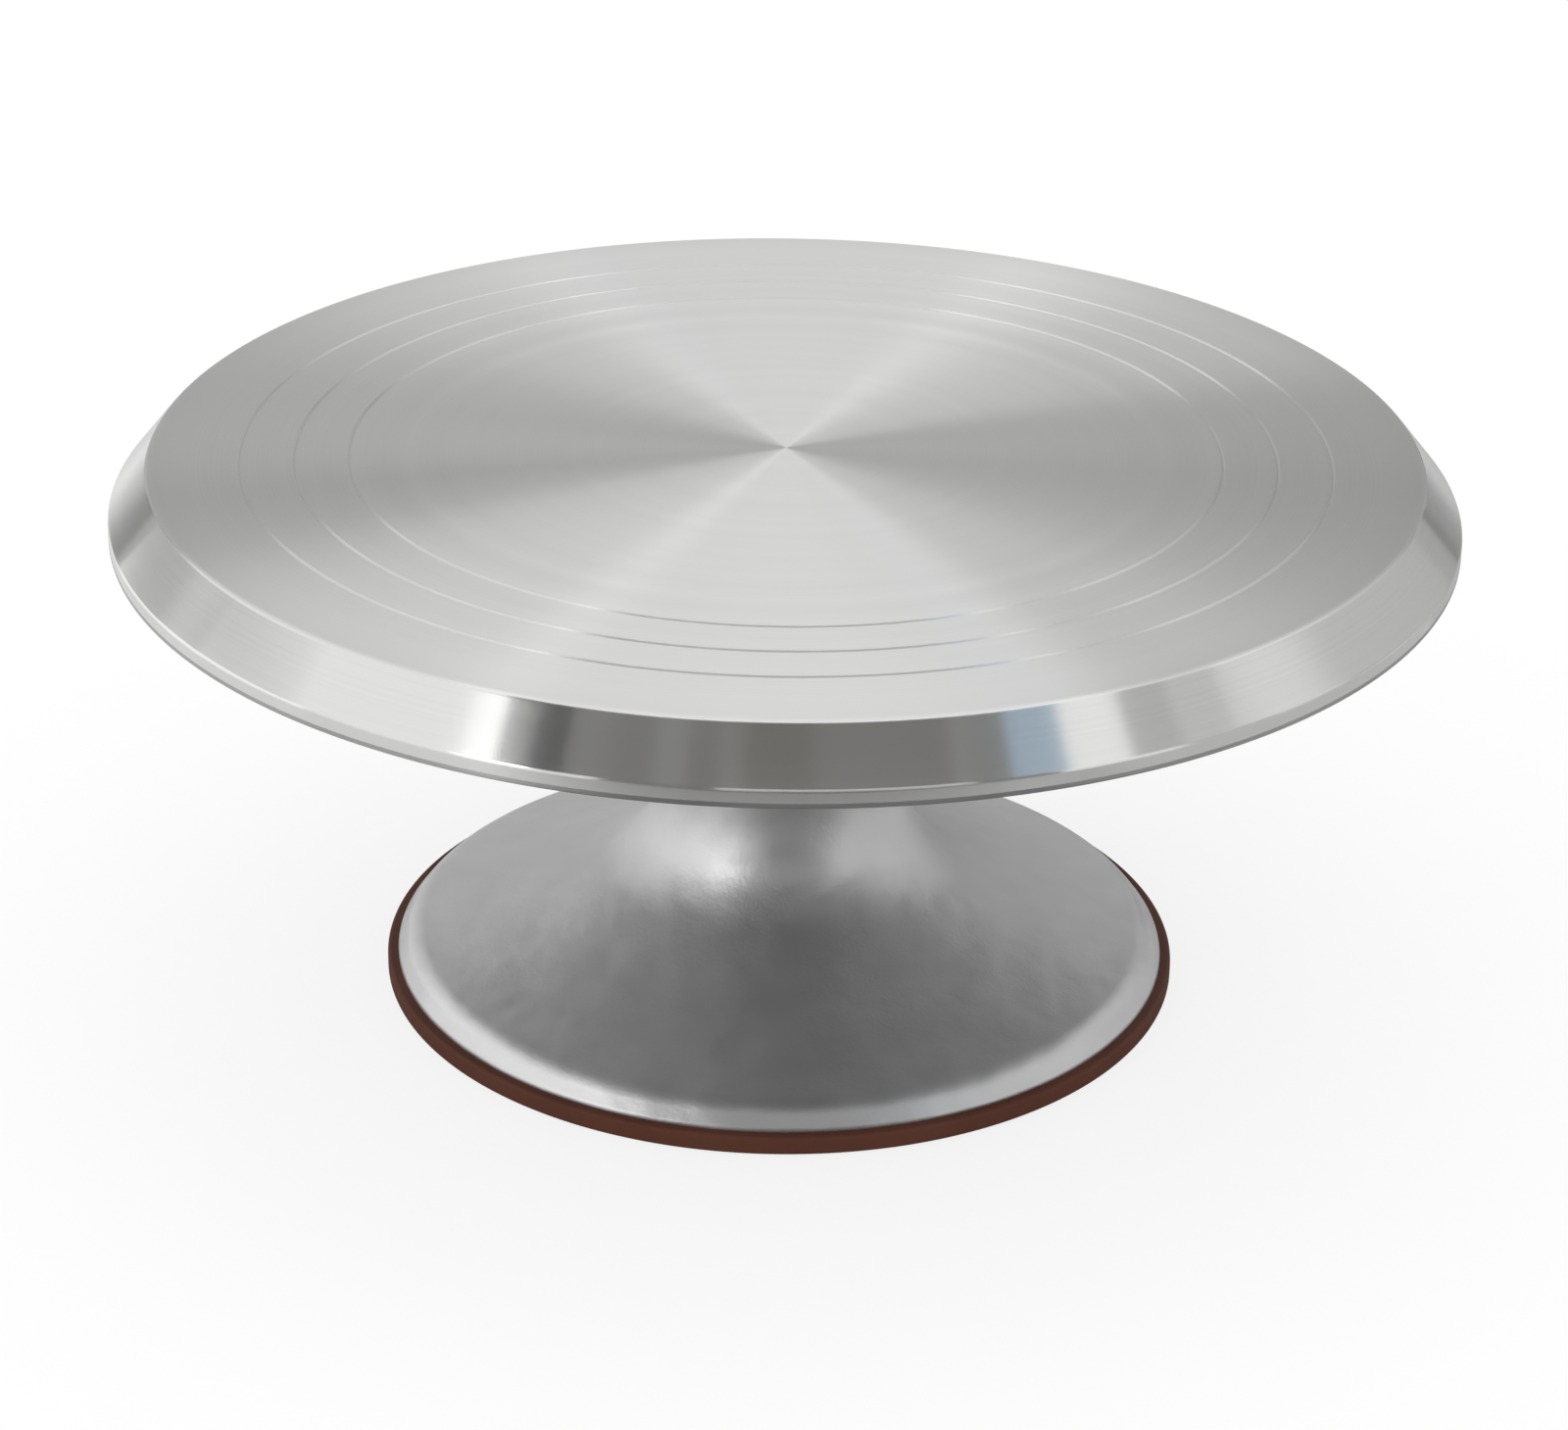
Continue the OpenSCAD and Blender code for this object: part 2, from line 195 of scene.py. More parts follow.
# %% Turn the plate
groove_points = [
    point
    for r in groove_rs
    for point in [
        (r - groove_w / 2, total_h),
        (r, total_h - groove_depth),
        (r + groove_w / 2, total_h),
    ]
]
plate = turn("plate_turned", [
    (0, total_h),
    *groove_points,
    (top_r, total_h),
    (plate_r, lip_top_z),
    (plate_r, lip_z),
    (plate_r - skirt_t, lip_z),
    (plate_r - skirt_t, lip_top_z),
    (inner_bevel_r, disc_z),
    (boss_r, disc_z),
    (boss_r, flange_hi.z),
    (head_hi.x + head_gap, flange_hi.z),
    (head_hi.x + head_gap, head_hi.z + head_gap),
    (0, head_hi.z + head_gap),
])
round_ring(plate, top_r, total_h, top_edge_r, 6)
round_ring(plate, plate_r, lip_top_z, lip_edge_r, 5)
round_ring(plate, plate_r, lip_z, lip_edge_r, 5)
round_ring(plate, plate_r - skirt_t, lip_z, lip_edge_r, 4)
round_ring(plate, inner_bevel_r, disc_z, inner_edge_r, 5)
round_ring(plate, boss_r, disc_z, inner_edge_r, 5)
smooth(plate)
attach(plate, "turntable")
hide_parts("turntable_plate")

# %% [markdown]
# ## The pedestal
# The pedestal is a hollow trumpet casting. Its outline goes from the rim's small edge over
# a short straight brim and a roll to a wide arc up the flank, and ends in a tight fillet
# into the neck. A free curve could follow it too, but arcs that each start in the
# direction in which the last one ended show no corner, and the hollow can use the same two
# large centres, one wall further in. The bearing seats and the grooves for the retaining
# rings are bored into the neck.

# %% The pedestal's sizes
rim_edge_r = 1.8 * MM
brim_slope = 53
brim_w = 2.6 * MM
roll_r = 7 * MM
rim_slope = 10
flank_slope = 30
fillet_r = 30 * MM
neck_r = 28 * MM
cast_t = 5 * MM
neck_chamfer = 1 * MM
housing_wall = 6 * MM
spigot_t = 3.5 * MM
ring_w = 14 * MM
fit_gap = 0.25 * MM
seat_gap = 0.01 * MM
mid_bore_r = 15.5 * MM
clip_groove = 1 * MM
clip_slot = 1.75 * MM
print(f"pedestal {2 * rim_r / MM:.1f} mm across, neck {2 * neck_r / MM:.0f} mm")


# %% Where the arcs of its outline are centred
def square_to(slope):
    """The direction square to a surface of this slope, outwards and up."""
    return Vector((math.sin(math.radians(slope)), math.cos(math.radians(slope))))


def along(slope):
    """The direction up a surface of this slope, towards the axis."""
    return Vector((-math.cos(math.radians(slope)), math.sin(math.radians(slope))))


rim_c = Vector((rim_r - rim_edge_r, ring_t))
roll_c = rim_c - (roll_r - rim_edge_r) * square_to(brim_slope) + brim_w * along(brim_slope)
flank_end = roll_c + roll_r * square_to(rim_slope)
sine_span = square_to(flank_slope).x - square_to(rim_slope).x
flank_arc_r = (flank_end.x - neck_r - fillet_r + fillet_r * square_to(flank_slope).x) / sine_span
flank_c = flank_end + flank_arc_r * square_to(rim_slope)
fillet_c = flank_c - (flank_arc_r - fillet_r) * square_to(flank_slope)
flank_in_r = flank_arc_r + cast_t
print(f"the brim's roll ends {flank_end.y / MM:.2f} mm up, at radius {flank_end.x / MM:.2f} mm")

# %% Where the bore and the hollow begin and end
seat_r = upper_hi.x + seat_gap
housing_r = seat_r + housing_wall
housing_z = lower_lo.z - clip_slot - cast_t / 2
housing_a = 180 + math.degrees(math.acos((fillet_c.x - housing_r) / (fillet_r + cast_t)))
spigot_r = ring_r - ring_w - fit_gap
spigot_in_r = spigot_r - spigot_t
spigot_slope = math.degrees(math.asin((flank_c.x - spigot_in_r) / flank_in_r))
print(f"bearing seats {2 * seat_r / MM:.2f} mm across, spigot {2 * spigot_r / MM:.1f} mm")

# %% Turn the pedestal
bore = [
    (seat_r, neck_z),
    (seat_r, upper_hi.z + clip_slot),
    (seat_r + clip_groove, upper_hi.z + clip_slot),
    (seat_r + clip_groove, upper_hi.z),
    (seat_r, upper_hi.z),
    (seat_r, upper_lo.z),
    (mid_bore_r, upper_lo.z),
    (mid_bore_r, lower_hi.z),
    (seat_r, lower_hi.z),
    (seat_r, lower_lo.z),
    (seat_r + clip_groove, lower_lo.z),
    (seat_r + clip_groove, lower_lo.z - clip_slot),
    (seat_r, lower_lo.z - clip_slot),
    (seat_r, housing_z),
    (housing_r, housing_z),
]
hollow = [
    *arc(fillet_c, fillet_r + cast_t, housing_a, 270 - flank_slope, 28)[1:],
    *arc(flank_c, flank_in_r, 270 - flank_slope, 270 - spigot_slope, 24)[1:],
]
foot = [
    (spigot_in_r, cast_lo.z),
    (spigot_r, cast_lo.z),
    (spigot_r, ring_t),
]
outside = [
    *arc(rim_c, rim_edge_r, 0, 90 - brim_slope, 8),
    *arc(roll_c, roll_r, 90 - brim_slope, 90 - rim_slope, 12),
    *arc(flank_c, flank_arc_r, 270 - rim_slope, 270 - flank_slope, 32)[1:],
    *arc(fillet_c, fillet_r, 270 - flank_slope, 180, 32)[1:],
    (neck_r, neck_z - neck_chamfer),
    (neck_r - neck_chamfer, neck_z),
    (seat_r, neck_z),
]
pedestal = turn("pedestal_cast", bore + hollow + foot + outside)
smooth(pedestal)
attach(pedestal, "base")
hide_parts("pedestal")

# %% [markdown]
# ## The rubber ring
# A flat ring of brown rubber sits round a spigot under the rim and keeps the turntable
# from sliding. A torus would be too round for it, so it is a spun rectangle, and only the
# two outer corners, which show, are bevelled as they are moulded on the real ring.

# %% Turn the rubber ring
ring_in_r = ring_r - ring_w
ring_edge_r = 1 * MM
foot_ring = turn("foot_ring_moulded", [
    (ring_in_r, 0), (ring_r, 0), (ring_r, ring_t), (ring_in_r, ring_t), (ring_in_r, 0),
])
round_ring(foot_ring, ring_r, 0, ring_edge_r, 6)
round_ring(foot_ring, ring_r, ring_t, ring_edge_r, 6)
smooth(foot_ring)
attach(foot_ring, "base")
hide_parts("foot_ring")

# %% [markdown]
# ## Shader sums in Python
# A finish is a small graph of nodes. It could be wired by hand in the Shader Editor, but
# wrapping a socket in a class that knows + - * / and ** lets each sum be written as an
# expression, and one method makes every other node.

# %% A number that comes out of a node
class Amount:
    """A number that comes out of a node. Sums with it add Math nodes."""

    def __init__(self, finish, socket):
        self.finish = finish
        self.socket = socket

    def sum(self, operation, first, second=0.0):
        return self.finish.node("ShaderNodeMath", {"operation": operation}, {0: first, 1: second})

    def __add__(self, other):
        return self.sum("ADD", self, other)

    def __radd__(self, other):
        return self.sum("ADD", other, self)

    def __sub__(self, other):
        return self.sum("SUBTRACT", self, other)

    def __rsub__(self, other):
        return self.sum("SUBTRACT", other, self)

    def __mul__(self, other):
        return self.sum("MULTIPLY", self, other)

    def __rmul__(self, other):
        return self.sum("MULTIPLY", other, self)

    def __truediv__(self, other):
        return self.sum("DIVIDE", self, other)

    def __rtruediv__(self, other):
        return self.sum("DIVIDE", other, self)

    def __pow__(self, other):
        return self.sum("POWER", self, other)

    def __rpow__(self, other):
        return self.sum("POWER", other, self)

    def above(self, edge):
        return self.sum("GREATER_THAN", self, edge)


print("an Amount knows:", sorted(name for name in vars(Amount) if name != "__init__"))


# %% A finish that is built node by node
class Finish:
    """A material, or the world, that is built node by node."""

    def __init__(self, material):
        self.material = material
        self.material.use_nodes = True
        self.tree = self.material.node_tree
        self.tree.nodes.clear()

    def node(self, kind, settings=None, sockets=None, out=0):
        node = self.tree.nodes.new(kind)
        for key, value in (settings or {}).items():
            setattr(node, key, value)
        for key, value in (sockets or {}).items():
            if isinstance(value, Amount):
                self.tree.links.new(value.socket, node.inputs[key])
            else:
                node.inputs[key].default_value = value
        return Amount(self, node.outputs[out]) if node.outputs else node

    def place(self):
        """Object coordinates, and their three parts."""
        spot = self.node("ShaderNodeTexCoord", out="Object")
        parts = self.node("ShaderNodeSeparateXYZ", sockets={0: spot})
        x, y, z = (Amount(self, parts.socket.node.outputs[i]) for i in range(3))
        return spot, x, y, z

    def noise(self, spot, scale, detail=2.0, rough=0.5):
        sockets = {"Vector": spot, "Scale": scale, "Detail": detail, "Roughness": rough}
        return self.node("ShaderNodeTexNoise", {"noise_dimensions": "3D"}, sockets)

    def lines(self, along, scale, detail=2.0, rough=0.5):
        """Noise along one number: fine lines wherever that number is the same."""
        sockets = {"W": along, "Scale": scale, "Detail": detail, "Roughness": rough}
        return self.node("ShaderNodeTexNoise", {"noise_dimensions": "1D"}, sockets)

    def blend(self, share, first, second):
        """A colour between two colours."""
        settings = {"data_type": "RGBA"}
        return self.node("ShaderNodeMix", settings, {0: share, 6: first, 7: second}, out=2)

    def bump(self, height, strength, distance):
        sockets = {"Strength": strength, "Distance": distance, "Height": height}
        return self.node("ShaderNodeBump", sockets=sockets)

    def surface(self, **values):
        """The Principled shader, with each value given by its socket's name."""
        sockets = {key.replace("_", " "): value for key, value in values.items()}
        shader = self.node("ShaderNodeBsdfPrincipled", sockets=sockets)
        self.node("ShaderNodeOutputMaterial", sockets={"Surface": shader})
        return self.material


def dress(obj, material):
    """Gives an object this one material."""
    obj.data.materials.clear()
    obj.data.materials.append(material)


print("a Finish knows:", sorted(name for name in vars(Finish) if not name.startswith("__")))

# %% [markdown]
# ## Turned aluminium
# A lathe tool leaves fine rings, so light spreads across them and stays sharp along them.
# That is what makes the bright fan that opens from the middle of the plate. Cutting the
# rings would take millions of faces, so the shader's anisotropy spreads the light, and
# noise along the radius adds the lines themselves. The bevel and the lip are turned finer
# than the face. The inside, which a mask finds by its place, is painted a darker grey as
# painted shade, for the shade that falls under the plate.

# %% The plate's finish
FINE_RINGS_PER_M = 2200
BROAD_RINGS_PER_M = 160
RING_DEPTH = 0.02 * MM
# Painted shade: the plate's inside gets this darker grey for the shade under the plate.
FACE_ROUGHNESS = 0.30
EDGE_SMOOTHER_BY = 0.14
INSIDE_PAINTED_SHADE = 0.43
finish = Finish(bpy.data.materials.new("turned_aluminium"))
spot, x, y, z = finish.place()
radius = (x * x + y * y) ** 0.5
fine_rings = finish.lines(radius, FINE_RINGS_PER_M, detail=4, rough=0.6)
broad_rings = finish.lines(radius, BROAD_RINGS_PER_M, detail=3)
tone = 0.5 * fine_rings + 0.5 * broad_rings
bright = finish.blend(tone, (0.70, 0.70, 0.69, 1), (0.80, 0.80, 0.79, 1))
slant = radius + (z - lip_top_z) * ((plate_r - top_r) / bevel_drop)
inside = (1 - slant.above(plate_r - skirt_t / 2)) * (1 - z.above(disc_z + 0.5 * MM))
on_edge = radius.above(top_r) * (1 - inside)
# The base colour is the turned rings outside and a painted shade grey on the inside.
plate_metal = finish.surface(
    Base_Color=finish.blend(inside, bright, (INSIDE_PAINTED_SHADE,) * 3 + (1,)),
    Metallic=1.0,
    Roughness=FACE_ROUGHNESS - EDGE_SMOOTHER_BY * on_edge + 0.05 * broad_rings,
    Anisotropic=1.0,
    Anisotropic_Rotation=0.25,
    Normal=finish.bump(fine_rings, 0.15, RING_DEPTH),
)
dress(plate, plate_metal)
print(plate_metal.name, "nodes:", len(finish.tree.nodes))

# %% [markdown]
# ## Cast aluminium
# The pedestal is blasted and lacquered, so it shines softly with a fine grain. A casting is
# never quite even either, which breaks a highlight up into soft spots. Sculpting that would
# be slow, and its faces too many, so a Bump node takes slow waves with a little grain.

# %% The pedestal's finish
GRAINS_PER_M = 1100
GRAIN_SHARE = 0.09
WAVES_PER_M = 95
WAVE_DEPTH = 0.48 * MM
finish = Finish(bpy.data.materials.new("cast_aluminium"))
spot, x, y, z = finish.place()
grain = finish.noise(spot, GRAINS_PER_M, detail=3)
cloud = finish.noise(spot, WAVES_PER_M, detail=1.5, rough=0.45)
skin = cloud + GRAIN_SHARE * grain
cast_metal = finish.surface(
    Base_Color=finish.blend(cloud, (0.69, 0.69, 0.69, 1), (0.79, 0.79, 0.79, 1)),
    Metallic=1.0,
    Roughness=0.40 + 0.08 * cloud,
    Normal=finish.bump(skin, 1.0, WAVE_DEPTH),
)
dress(pedestal, cast_metal)
print(cast_metal.name, "nodes:", len(finish.tree.nodes))

# %% [markdown]
# ## Rubber
# The foot ring is a matt red-brown rubber with a dusty, slightly uneven skin. Plain rough
# plastic would look waxy, so its specular level is low, and dust is a slow blend of two
# browns. The seal in the neck is the same rubber in black.

# %% The rubber finishes
RUBBER_SHINE = 0.15
SKIN_DEPTH = 0.08 * MM


def rubber(name, dark, light):
    """A matt rubber whose colour lies between dark and light."""
    finish = Finish(bpy.data.materials.new(name))
    spot, x, y, z = finish.place()
    skin = finish.noise(spot, 700, detail=4)
    dust = finish.noise(spot, 60, detail=3)
    return finish.surface(
        Base_Color=finish.blend(dust, dark, light),
        Roughness=0.62 + 0.15 * skin,
        Specular_IOR_Level=RUBBER_SHINE,
        Normal=finish.bump(skin, 0.3, SKIN_DEPTH),
    )


brown_rubber = rubber("brown_rubber", (0.100, 0.035, 0.021, 1), (0.150, 0.056, 0.037, 1))
black_rubber = rubber("black_rubber", (0.020, 0.020, 0.020, 1), (0.045, 0.045, 0.045, 1))
dress(foot_ring, brown_rubber)
print("rubbers:", brown_rubber.name, black_rubber.name)

# %% [markdown]
# ## Steel parts and the bearing cages
# The parts inside the neck have plain engineering finishes: turned, ground, zinc plated
# and black oxide steel, and a moulded nylon cage. Each steel could be a material of its
# own, but they differ only in colour, roughness and how close their turning marks lie, so
# one function makes all four.

# %% Steel and nylon finishes
def steel(name, dark, light, roughness, rings):
    """A turned steel with this many marks to a metre."""
    finish = Finish(bpy.data.materials.new(name))
    spot, x, y, z = finish.place()
    marks = finish.lines((x * x + y * y) ** 0.5 + z, rings, detail=3)
    wear = finish.noise(spot, 220, detail=4)
    return finish.surface(
        Base_Color=finish.blend(wear, dark, light),
        Metallic=1.0,
        Roughness=roughness + 0.08 * wear,
        Normal=finish.bump(marks, 0.12, 0.03 * MM),
    )


def nylon(name):
    """The moulded plastic of the bearing cages."""
    finish = Finish(bpy.data.materials.new(name))
    spot, x, y, z = finish.place()
    flow = finish.noise(spot, 300, detail=3)
    return finish.surface(
        Base_Color=finish.blend(flow, (0.70, 0.60, 0.43, 1), (0.78, 0.69, 0.53, 1)),
        Roughness=0.45 + 0.1 * flow,
        Normal=finish.bump(flow, 0.1, 0.03 * MM),
    )


STEELS = [
    ("turned_steel", (0.52, 0.52, 0.53, 1), (0.64, 0.64, 0.65, 1), 0.26, 2600),
    ("bearing_steel", (0.68, 0.69, 0.70, 1), (0.76, 0.77, 0.78, 1), 0.12, 4000),
    ("zinc_steel", (0.54, 0.56, 0.59, 1), (0.66, 0.68, 0.70, 1), 0.30, 1800),
    ("black_steel", (0.05, 0.05, 0.055, 1), (0.10, 0.10, 0.105, 1), 0.38, 1800),
]
finishes = {
    "turned_aluminium": plate_metal,
    "cast_aluminium": cast_metal,
    "brown_rubber": brown_rubber,
    "black_rubber": black_rubber,
    **{row[0]: steel(*row) for row in STEELS},
    "cage_nylon": nylon("cage_nylon"),
}
for part in frame["record"]["subparts"]:
    dress(frame["nodes"][part["node"]], finishes[part["material_slot"]])
print("finishes:", sorted(finishes))

# %% [markdown]
# ## The camera
# The photograph's camera could be matched by eye, but the ellipses of the plate, the
# grooves and the rubber ring tell it exactly: a long lens about a metre away, 22 degrees
# above the plate, and turned by less than a degree.

# %% Camera
PHOTO_W = 1600
FOCAL_PX = 4460
AIM_DISTANCE = 0.9903
AIM_ELEVATION = math.radians(21.93)
AIM_BELOW_AXIS = math.radians(3.50)
CAMERA_ROLL = math.radians(0.80)
CAMERA_YAW = math.radians(0.023)
camera_place = Vector((
    0,
    -AIM_DISTANCE * math.cos(AIM_ELEVATION),
    total_h + AIM_DISTANCE * math.sin(AIM_ELEVATION),
))

bpy.ops.object.camera_add()
camera = bpy.context.object
camera.name = "photo_camera"
camera.data.sensor_fit = "HORIZONTAL"
camera.data.sensor_width = 36
camera.data.lens = FOCAL_PX / PHOTO_W * camera.data.sensor_width
camera.location = camera_place
look_down = math.pi / 2 - AIM_ELEVATION - AIM_BELOW_AXIS
turned = Euler((look_down, 0, -CAMERA_YAW)).to_matrix() @ Matrix.Rotation(CAMERA_ROLL, 3, "Z")
camera.rotation_euler = turned.to_euler()
bpy.context.scene.camera = camera
bpy.context.scene.view_settings.view_transform = "Standard"
print("camera at", [round(v, 3) for v in camera.location], f"lens {camera.data.lens:.1f} mm")

# %% [markdown]
# ## The table
# The picture has a plain white ground. For the camera the table is partly lit from inside,
# so that its white holds while it still takes a soft shadow. A stronger lamp would burn out
# the metal instead. The metal sees the plain white table with its whole shadow, and so does
# every soft ray. The table lies a hair under the rubber ring, so that the two flat faces
# never share a plane.

# %% The table
TABLE_SIZE = 12
TABLE_GAP = 0.1 * MM
TABLE_GLOW = 0.80
TABLE_GREY = 0.22
TABLE_WHITE = 0.8


def path_ray(finish, *names):
    """1 for a ray of one of these kinds, and 0 for any other."""
    path = finish.node("ShaderNodeLightPath").socket.node
    first, *others = (Amount(finish, path.outputs[name]) for name in names)
    return sum(others, first).above(0.5)


bpy.ops.object.select_all(action="DESELECT")
bpy.ops.mesh.primitive_plane_add(size=TABLE_SIZE, location=(0, 0, -TABLE_GAP))
table = bpy.context.object
table.name = "table"
finish = Finish(bpy.data.materials.new("table_white"))
grey = finish.node("ShaderNodeBsdfDiffuse", sockets={"Color": (TABLE_GREY,) * 3 + (1,)})
glow = finish.node("ShaderNodeEmission", sockets={"Color": (1, 1, 1, 1), "Strength": TABLE_GLOW})
shown = finish.node("ShaderNodeAddShader", sockets={0: grey, 1: glow})
plain = finish.node("ShaderNodeBsdfDiffuse", sockets={"Color": (TABLE_WHITE,) * 3 + (1,)})
seen = path_ray(finish, "Is Camera Ray")
mixed = finish.node("ShaderNodeMixShader", sockets={0: seen, 1: plain, 2: shown})
finish.node("ShaderNodeOutputMaterial", sockets={"Surface": mixed})
dress(table, finish.material)
print("table:", TABLE_SIZE, "m wide")

# %% [markdown]
# ## The room
# Behind the table the picture is plain white too, and metal has to have a room to mirror.
# One white world would light everything a little too much, so the camera and the mirrors
# see it white, and only soft rays get slightly less.

# %% The room
ROOM_LIGHT = 0.85
room = Finish(bpy.data.worlds.new("room"))
bpy.context.scene.world = room.material
backdrop = room.node("ShaderNodeBackground", sockets={"Color": (1, 1, 1, 1), "Strength": 1.0})
soft = room.node("ShaderNodeBackground", sockets={"Color": (1, 1, 1, 1), "Strength": ROOM_LIGHT})
seen = path_ray(room, "Is Camera Ray", "Is Glossy Ray", "Is Transmission Ray")
mixed = room.node("ShaderNodeMixShader", sockets={0: seen, 1: soft, 2: backdrop})
room.node("ShaderNodeOutputWorld", sockets={"Surface": mixed})
print("soft light of the room:", ROOM_LIGHT)

# %% [markdown]
# ## Cards
# Bare metal in a white room looks like paper, so a photographer stands grey and black
# cards round it and lets it mirror them. A picture of a room could stand in for them, but
# cards can be set one by one until each stretch of metal has its own grey. Each card here
# is seen by the metal alone.

# %% How a card is made
CARD_LIFT = 2 * MM


def card(name, place, level, top_level=None, tint=(1, 1, 1), cuts=1):
    """A card whose points lie where place(u, w) says, for u and w from 0 to 1.

    Its light may rise evenly from w = 0 to w = 1.
    """
    bpy.ops.object.select_all(action="DESELECT")
    bpy.ops.mesh.primitive_grid_add(x_subdivisions=cuts, y_subdivisions=cuts, size=1)
    obj = bpy.context.object
    obj.name = name
    shares = [(vertex.co.x + 0.5, vertex.co.y + 0.5) for vertex in obj.data.vertices]
    for vertex, (u, w) in zip(obj.data.vertices, shares):
        vertex.co = place(u, w)
    finish = Finish(bpy.data.materials.new(name))
    light = (*(level * part for part in tint), 1)
    if top_level is not None:
        foot_z, top_z = place(0, 0)[2], place(0, 1)[2]
        spot, x, y, z = finish.place()
        rise = (z - foot_z) / (top_z - foot_z)
        light = finish.blend(rise, light, (*(top_level * part for part in tint), 1))
    glow = finish.node("ShaderNodeEmission", sockets={"Color": light, "Strength": 1.0})
    finish.node("ShaderNodeOutputMaterial", sockets={"Surface": glow})
    dress(obj, finish.material)
    obj.visible_camera = False
    obj.visible_diffuse = False
    obj.visible_shadow = False
    obj.visible_transmission = False
    return obj


def between(first, last, share):
    """The number that lies this share of the way from first to last."""
    return first + (last - first) * share


def table_card(name, x0, x1, y0, y1, level):
    """A card that lies on the table."""
    def place(u, w):
        return (between(x0, x1, u), between(y0, y1, w), CARD_LIFT)
    return card(name, place, level)


def wall_card(name, start, end, z0, z1, level, top_level=None):
    """A card that stands between two places on the table."""
    def place(u, w):
        return (between(start[0], end[0], u), between(start[1], end[1], u), between(z0, z1, w))
    return card(name, place, level, top_level)


print("a card on the table lies", round(CARD_LIFT / MM, 1), "mm over it")

# %% [markdown]
# ## Where the cards stand
# A far card is mirrored by the whole object at once. Where only one stretch may change, the
# card stands close to it: the three beside the left of the brim show in the brim and not
# in the bevel above it. Dark cards on the table give the pedestal its shaded foot.

# %% The standing cards
wall_card("back_wall", (-2.5, 2.5), (2.5, 2.5), 0.01, 1.35, 0.40, 0.60)
wall_card("back_left_strip", (-2.3, 2.45), (-1.7, 2.45), 0.01, 0.75, 0.22)
wall_card("back_right_strip", (1.0, 2.45), (2.0, 2.45), 0.01, 0.60, 0.16)
wall_card("back_left_upper", (-2.5, 2.44), (-0.8, 2.44), 0.9, 1.9, 0.45)
wall_card("back_right_upper", (0.35, 2.44), (2.5, 2.44), 0.9, 2.6, 0.38, 0.75)
wall_card("left_wall", (-2.5, 2.5), (-2.5, -0.2), 0.01, 1.40, 0.35, 0.60)
wall_card("back_shade", (-0.50, 0.5), (0.10, 0.5), 0.14, 0.45, 0.54)
wall_card("back_right_shade", (0.10, 0.5), (0.50, 0.5), 0.14, 0.45, 0.44)
wall_card("back_left_line", (-0.34, 0.49), (-0.12, 0.49), 0.344, 0.374, 0.12)
wall_card("back_right_line", (0.14, 0.49), (0.34, 0.49), 0.320, 0.340, 0.12)
wall_card("left_brim_low", (-0.30, 0.50), (-0.30, 0.12), 0.03, 0.08, 1.1)
wall_card("left_brim_mid", (-0.30, 0.12), (-0.30, -0.03), 0.06, 0.135, 1.2)
wall_card("left_brim_high", (-0.30, -0.03), (-0.30, -0.15), 0.07, 0.175, 1.2)
wall_card("right_wall", (2.5, 2.5), (2.5, -1.2), 0.01, 2.60, 0.50, 0.75)
wall_card("right_glow", (2.4, -0.3), (2.4, 0.4), 0.3, 2.0, 0.85)
wall_card("front_brim", (-0.04, -0.30), (0.13, -0.30), 0.14, 0.235, 0.70)
wall_card("front_wall", (-0.9, -1.7), (1.6, -1.7), 0.01, 1.1, 0.20)
wall_card("front_dark_strip", (-0.05, -1.69), (0.45, -1.69), 0.01, 1.0, 0.04)

# %% The cards on the table
table_card("front_table", -0.28, 0.45, -1.70, -0.34, 0.16)
table_card("right_table", 0.22, 1.30, -0.50, 0.12, 0.56)
table_card("back_table", -0.03, 0.16, 0.12, 0.70, 0.12)
table_card("back_right_near_table", 0.16, 0.60, 0.13, 0.48, 0.52)
table_card("back_right_mid_table", 0.46, 1.30, 0.50, 1.20, 0.40)
table_card("under_table", -0.12, 0.20, -0.24, -0.095, 0.12)
table_card("back_left_table", -1.50, -0.40, 1.00, 2.40, 0.50)
table_card("back_right_table", 0.40, 1.80, 1.20, 2.40, 0.34)

# %% [markdown]
# ## Strips for the bevel
# The bevel is the brightest and most telling mirror on the object, and what it shows
# changes every few degrees round the rim. So its strips are placed by the rule of the
# mirror: for a place on the rim, a ray from the camera is reflected there and followed up
# to the ceiling. The rows of a strip come from slopes on both sides of the bevel's own,
# because the turned finish smears its reflection up and down. They reach down to low
# slopes, so the front walls of the grooves mirror the strips too, and look dark.

# %% Where the bevel looks
CEILING_Z = total_h + 1.0
STRIP_SLOPES = (32, 62)
STRIP_CUTS = 8
bevel_r = (top_r + plate_r) / 2
bevel_z = total_h - bevel_drop / 2
bevel_slope = math.degrees(math.atan2(bevel_drop, plate_r - top_r))


def mirrored(azimuth, slope):
    """The place on the ceiling that the camera sees in the rim, 0 degrees being the front."""
    around, tilt = math.radians(azimuth), math.radians(slope)
    spot = Vector((bevel_r * math.sin(around), -bevel_r * math.cos(around), bevel_z))
    outward = math.sin(tilt)
    normal = Vector((outward * math.sin(around), -outward * math.cos(around), math.cos(tilt)))
    away = (spot - camera_place).reflect(normal)
    return spot + away * ((CEILING_Z - spot.z) / away.z)


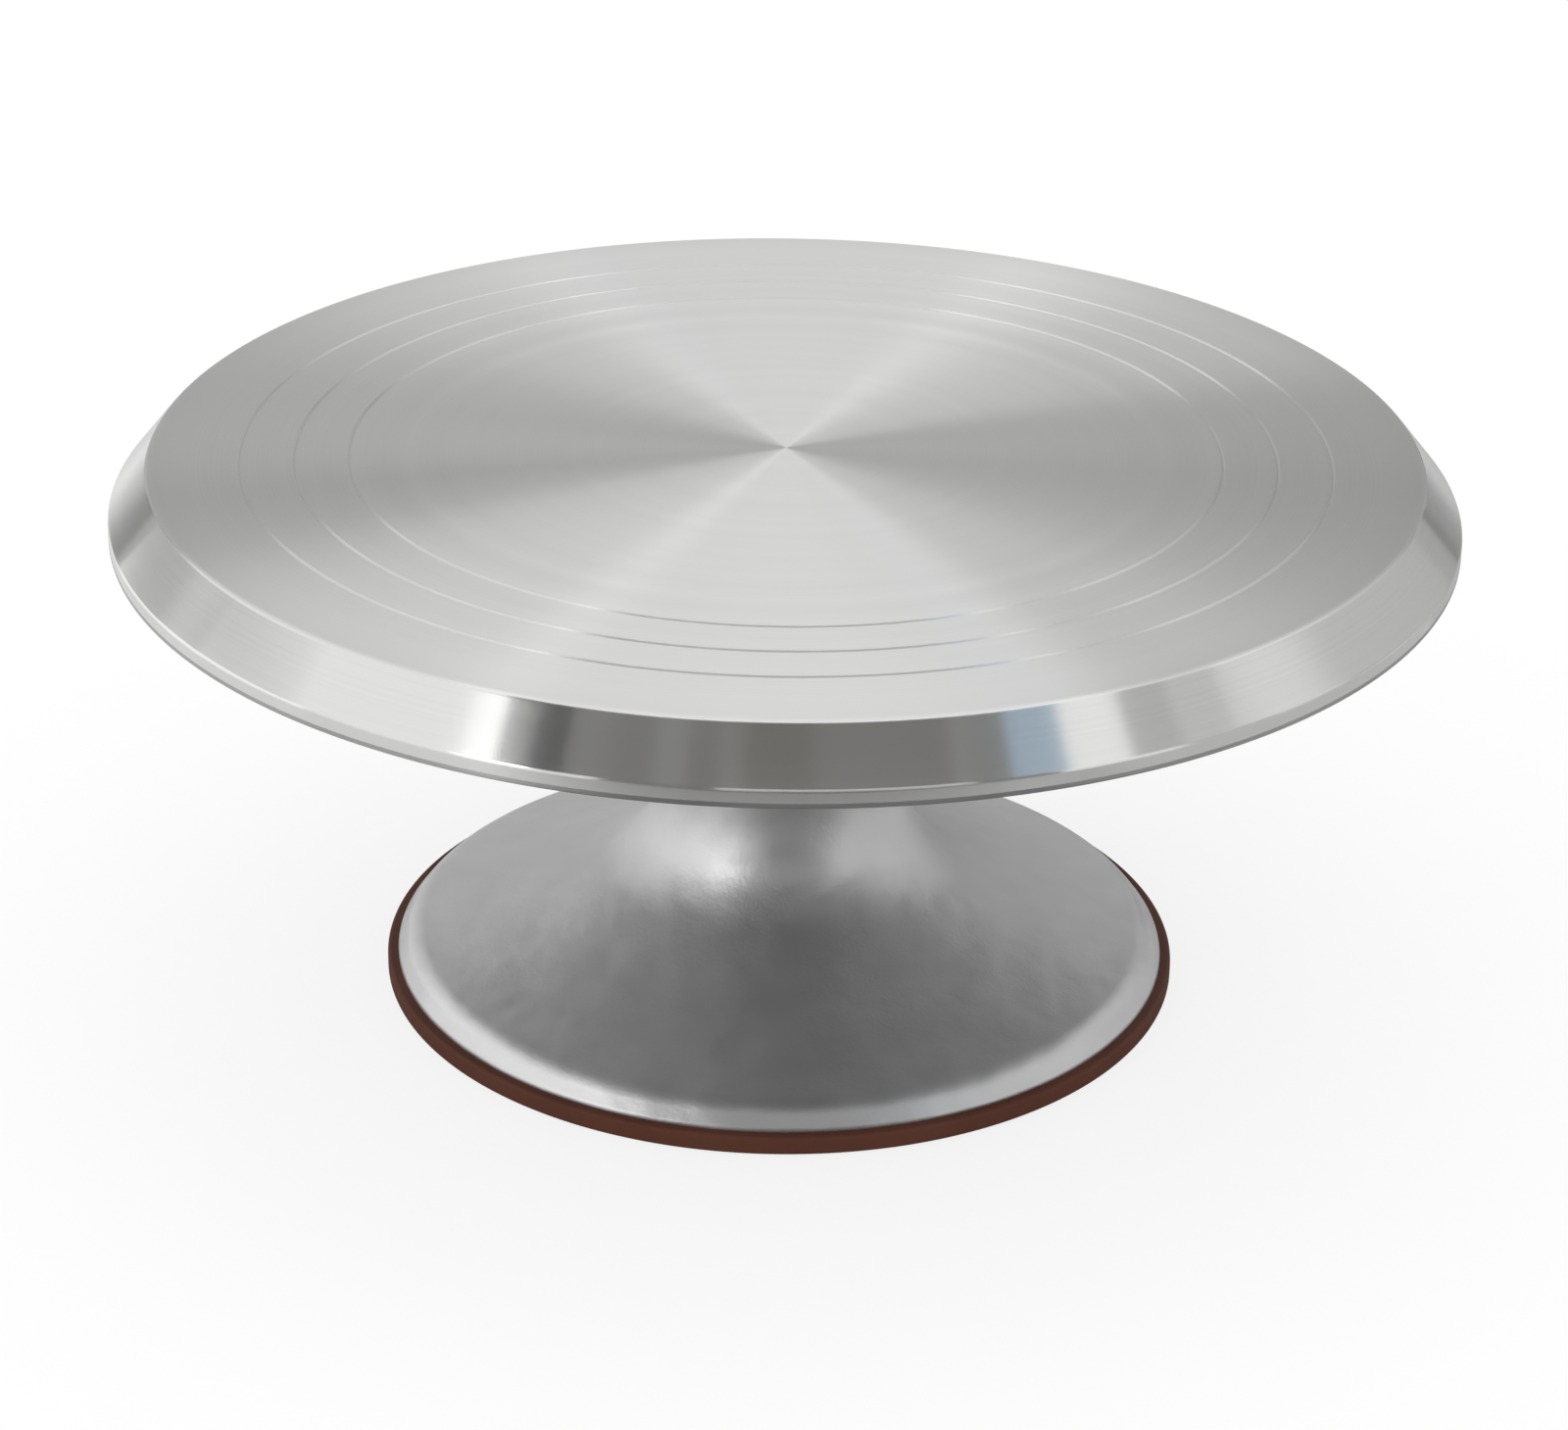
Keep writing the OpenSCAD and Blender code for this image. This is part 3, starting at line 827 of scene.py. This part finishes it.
def bevel_strip(name, start, end, level, tint=(1, 1, 1)):
    """A strip that the bevel mirrors between two azimuths of the rim."""
    def place(u, w):
        return mirrored(between(start, end, u), between(*STRIP_SLOPES, w))
    return card(name, place, level, tint=tint, cuts=STRIP_CUTS)


front_place = mirrored(0, bevel_slope)
print("the front of the rim looks at", [round(v, 2) for v in front_place])

# %% The strips over the bevel
bevel_strip("front_left_edge", -22, -16.5, 0.05)
bevel_strip("front_left_dark", -16.5, -9.7, 0.20, (1.02, 1.0, 0.98))
bevel_strip("front_pale", -9.7, -7.2, 0.26)
bevel_strip("front_mid_dark", -7.2, -3, 0.19, (1.04, 1.0, 0.96))
bevel_strip("front_dark", -3, 2.5, 0.12, (1.06, 1.0, 0.92))
bevel_strip("front_right_dark", 2.5, 13, 0.16, (1.04, 1.0, 0.95))
bevel_strip("front_right_dim", 13, 17.5, 0.24)
bevel_strip("blue_strip", 17.5, 22, 0.50, (0.80, 1.0, 1.20))
bevel_strip("right_strip", 27.5, 32, 0.50)
bevel_strip("right_pale_strip", 32, 37, 0.62)

# %% [markdown]
# ## Lamps
# One wide lamp above gives the plate its bright fan. The room alone would leave the
# pedestal flat, so two smaller lamps at the left shape it: one from the front, and a very
# weak one low at the side for the brim.

# %% Lamps
def lamp(name, location, size, power):
    """A round lamp that points at the middle of the object."""
    bpy.ops.object.light_add(type="AREA", location=location)
    obj = bpy.context.object
    obj.name = name
    obj.data.shape = "DISK"
    obj.data.size = size
    obj.data.energy = power
    toward = Vector((0, 0, total_h / 2)) - Vector(location)
    obj.rotation_euler = toward.to_track_quat("-Z", "Y").to_euler()
    return obj


lamp("top_lamp", (0, 0.5, 1.9), 1.5, 4.0)
lamp("left_lamp", (-1.22, -1.17, 0.85), 0.36, 2.3)
lamp("side_lamp", (-1.50, 0.50, 0.25), 0.35, 0.3)
print("lamps:", sorted(light.name for light in bpy.data.lights))

# %% [markdown]
